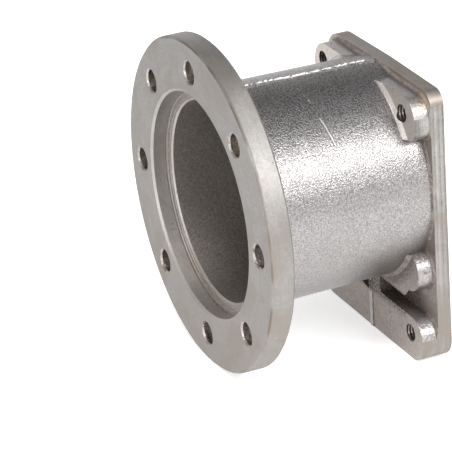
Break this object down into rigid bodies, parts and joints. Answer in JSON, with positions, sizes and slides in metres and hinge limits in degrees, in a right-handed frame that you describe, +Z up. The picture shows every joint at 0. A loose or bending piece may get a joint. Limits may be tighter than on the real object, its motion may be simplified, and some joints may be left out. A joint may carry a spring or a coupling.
{
  "type": "pump bell housing",
  "caption": "One-piece cast aluminium bell housing: round motor flange with register, tapered tube for the shaft coupling, and a rectangular pump plate with tapped bosses.",
  "frame": {"origin": "centre of the turned motor face, on the shaft axis", "axes": "+Y runs along the shaft from the motor to the pump, +Z is up along the pump plate, +X is the milled side of the plate"},
  "size_m": [0.1036, 0.066, 0.106],
  "materials": {
    "cast_aluminium": "cast skin with turned, milled and drilled faces"
  },
  "bodies": {
    "root": {"bell_housing": "cast_aluminium"}
  },
  "joints": []
}
